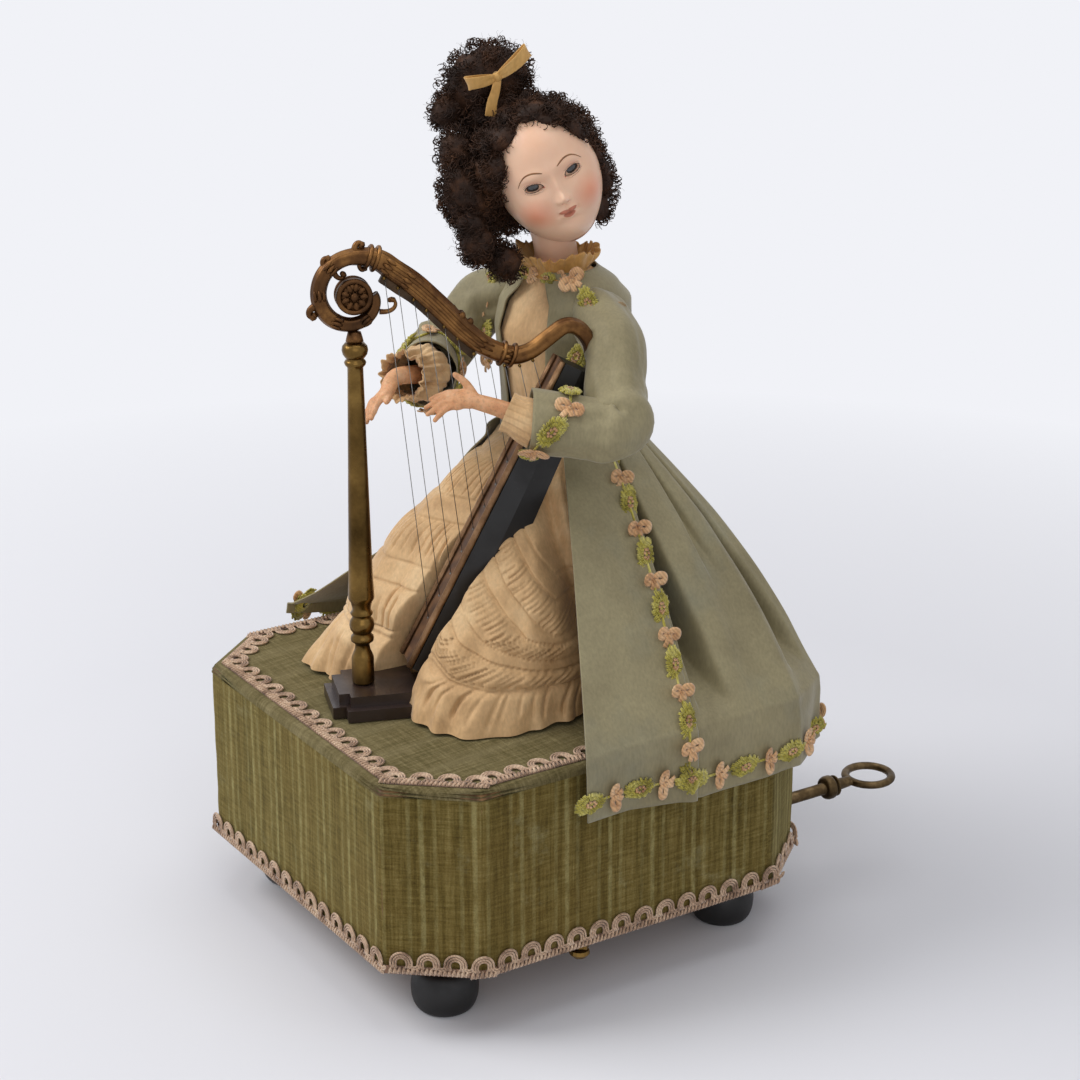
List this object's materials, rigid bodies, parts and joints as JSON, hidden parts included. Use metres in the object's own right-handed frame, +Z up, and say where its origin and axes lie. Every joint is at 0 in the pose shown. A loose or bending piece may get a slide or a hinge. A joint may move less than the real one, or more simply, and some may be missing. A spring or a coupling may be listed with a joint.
{
  "type": "musical automaton",
  "caption": "Key-wound musical automaton: a seated lady in a silk coat plays a harp on a velvet-covered chamfered case, turning and nodding her head and moving both arms.",
  "frame": {"origin": "on the floor under the middle of the whole object's box, which includes the key", "axes": "+Z up, the lady and the case's front look along -Y, her left side is +X, the winding key leaves the back along +Y"},
  "size_m": [0.2745, 0.3422, 0.4815],
  "materials": {
    "bisque": "tinted bisque",
    "black": "dark stained and polished wood",
    "braid": "faded pink beige gimp braid",
    "brass": "aged brass",
    "bronze": "dark aged bronze",
    "coat_silk": "grey green silk with trim",
    "gilt": "bronze painted carving",
    "hair": "dark brown mohair",
    "hand_paint": "painted composition",
    "paper_mache": "moulded paper pulp",
    "ribbon": "golden silk ribbon",
    "shoe": "yellow kid leather",
    "silk": "cream ruched silk",
    "steel": "plain steel",
    "velvet": "worn olive cotton velvet",
    "wood": "plain sawn wood"
  },
  "bodies": {
    "base": {"bodice_front": "silk", "bottom_board": "wood", "case_top_board": "wood", "case_walls": "wood", "coat": "coat_silk", "coat_bodice": "coat_silk", "collar_ruffle": "silk", "comb": "steel", "comb_block": "brass", "foot_back_left": "black", "foot_back_right": "black", "foot_front_left": "black", "foot_front_right": "black", "gimp_bottom": "braid", "gimp_top": "braid", "harp_column": "brass", "harp_neck": "gilt", "harp_plate": "black", "harp_soundboard": "gilt", "harp_soundbox": "black", "left_leg": "paper_mache", "left_shoe": "shoe", "plate_back": "brass", "plate_front": "brass", "right_leg": "paper_mache", "right_shoe": "shoe", "skirt": "silk", "stool": "wood", "torso": "paper_mache", "velvet_sides": "velvet", "velvet_top": "velvet"},
    "winding": {"winding_arbor": "steel", "winding_key": "bronze"},
    "click": {"click": "steel"},
    "barrel": {"spring_barrel": "brass"},
    "cams": {"cam_arbor": "brass"},
    "third": {"third_wheel": "brass"},
    "fly": {"fly": "brass"},
    "cylinder": {"music_cylinder": "brass"},
    "stop": {"stop_lever": "brass"},
    "neck": {"neck_rocker": "wood"},
    "head": {"head": "bisque", "wig": "hair", "hair_bow": "ribbon"},
    "turn_rod": {"turn_rod": "steel"},
    "left_arm": {"left_arm": "wood", "left_hand": "hand_paint", "left_sleeve": "coat_silk", "left_cuff": "silk"},
    "left_rod": {"left_rod": "steel"},
    "left_lever": {"left_lever": "brass"},
    "right_arm": {"right_arm": "wood", "right_hand": "hand_paint", "right_sleeve": "coat_silk", "right_cuff": "silk"},
    "right_rod": {"right_rod": "steel"},
    "right_lever": {"right_lever": "brass"},
    "nod_rod": {"nod_rod": "steel"},
    "nod_lever": {"nod_lever": "brass"}
  },
  "joints": [
    {"name": "key_wind", "type": "hinge", "parent": "base", "child": "winding", "pos_m": [0.088, 0.0379, 0.061], "axis": [0, 1, 0], "continuous": true},
    {"name": "click_lift", "type": "hinge", "parent": "base", "child": "click", "pos_m": [0.08, 0.0379, 0.075], "axis": [0, 1, 0], "range_deg": [-12, 0], "stiffness_Nm_per_rad": 0.01},
    {"name": "barrel_turn", "type": "hinge", "parent": "base", "child": "barrel", "pos_m": [0.088, 0.0379, 0.061], "axis": [0, 1, 0], "continuous": true},
    {"name": "cam_turn", "type": "hinge", "parent": "base", "child": "cams", "pos_m": [0.06761, 0.0379, 0.07051], "axis": [0, 1, 0], "continuous": true},
    {"name": "third_turn", "type": "hinge", "parent": "base", "child": "third", "pos_m": [0.04988, 0.0379, 0.07364], "axis": [0, 1, 0], "continuous": true},
    {"name": "fly_turn", "type": "hinge", "parent": "base", "child": "fly", "pos_m": [0.03429, 0.0379, 0.08264], "axis": [0, 1, 0], "continuous": true},
    {"name": "cylinder_turn", "type": "hinge", "parent": "base", "child": "cylinder", "pos_m": [0.09347, 0.0379, 0.09202], "axis": [0, 1, 0], "continuous": true},
    {"name": "stop_swing", "type": "hinge", "parent": "base", "child": "stop", "pos_m": [0.108, -0.0791, 0.036], "axis": [0, 0, 1], "range_deg": [-30, 15]},
    {"name": "head_nod", "type": "hinge", "parent": "base", "child": "neck", "pos_m": [-0.011, 0.0049, 0.357], "axis": [0.9781, 0.2079, 0], "range_deg": [-3, 3]},
    {"name": "head_turn", "type": "hinge", "parent": "neck", "child": "head", "pos_m": [-0.011, 0.0049, 0.362], "axis": [0, 0, 1], "range_deg": [-20, 8]},
    {"name": "turn_rod_turn", "type": "hinge", "parent": "base", "child": "turn_rod", "pos_m": [-0.011, 0.0049, 0.2], "axis": [0, 0, 1], "range_deg": [-20, 8]},
    {"name": "left_arm_swing", "type": "hinge", "parent": "base", "child": "left_arm", "pos_m": [0.03399, 0.01446, 0.343], "axis": [0.9781, 0.2079, 0], "range_deg": [-1, 4]},
    {"name": "left_rod_lift", "type": "slide", "parent": "base", "child": "left_rod", "axis": [0, 0, 1], "range_m": [-0.00066, 0.00066]},
    {"name": "left_lever_rock", "type": "hinge", "parent": "base", "child": "left_lever", "pos_m": [0.038, 0.0379, 0.088], "axis": [0, 1, 0], "range_deg": [-1.72, 1.72]},
    {"name": "nod_rod_lift", "type": "slide", "parent": "base", "child": "nod_rod", "axis": [0, 0, 1], "range_m": [-0.001, 0.001]},
    {"name": "nod_lever_rock", "type": "hinge", "parent": "base", "child": "nod_lever", "pos_m": [0.038, 0.0379, 0.088], "axis": [0, 1, 0], "range_deg": [-1.17, 1.17]},
    {"name": "right_arm_swing", "type": "hinge", "parent": "base", "child": "right_arm", "pos_m": [-0.056, -0.00466, 0.343], "axis": [0.9781, 0.2079, 0], "range_deg": [-4, 4]},
    {"name": "right_rod_lift", "type": "slide", "parent": "base", "child": "right_rod", "axis": [0, 0, 1], "range_m": [-0.00202, 0.00202]},
    {"name": "right_lever_rock", "type": "hinge", "parent": "base", "child": "right_lever", "pos_m": [0.038, 0.0379, 0.088], "axis": [0, 1, 0], "range_deg": [-1.52, 1.52]}
  ],
  "couplings": [
    {"joint": "cam_turn", "follows": "barrel_turn", "ratio": -4},
    {"joint": "third_turn", "follows": "barrel_turn", "ratio": 12},
    {"joint": "fly_turn", "follows": "barrel_turn", "ratio": -36},
    {"joint": "cylinder_turn", "follows": "barrel_turn", "ratio": -1.3333},
    {"joint": "turn_rod_turn", "follows": "head_turn", "ratio": 1},
    {"joint": "left_rod_lift", "follows": "left_arm_swing", "m_per_rad": 0.009254},
    {"joint": "left_lever_rock", "follows": "left_arm_swing", "ratio": 0.42065},
    {"joint": "nod_rod_lift", "follows": "head_nod", "m_per_rad": 0.01878},
    {"joint": "nod_lever_rock", "follows": "head_nod", "ratio": 0.38327},
    {"joint": "right_rod_lift", "follows": "right_arm_swing", "m_per_rad": 0.028307},
    {"joint": "right_lever_rock", "follows": "right_arm_swing", "ratio": 0.37246}
  ]
}
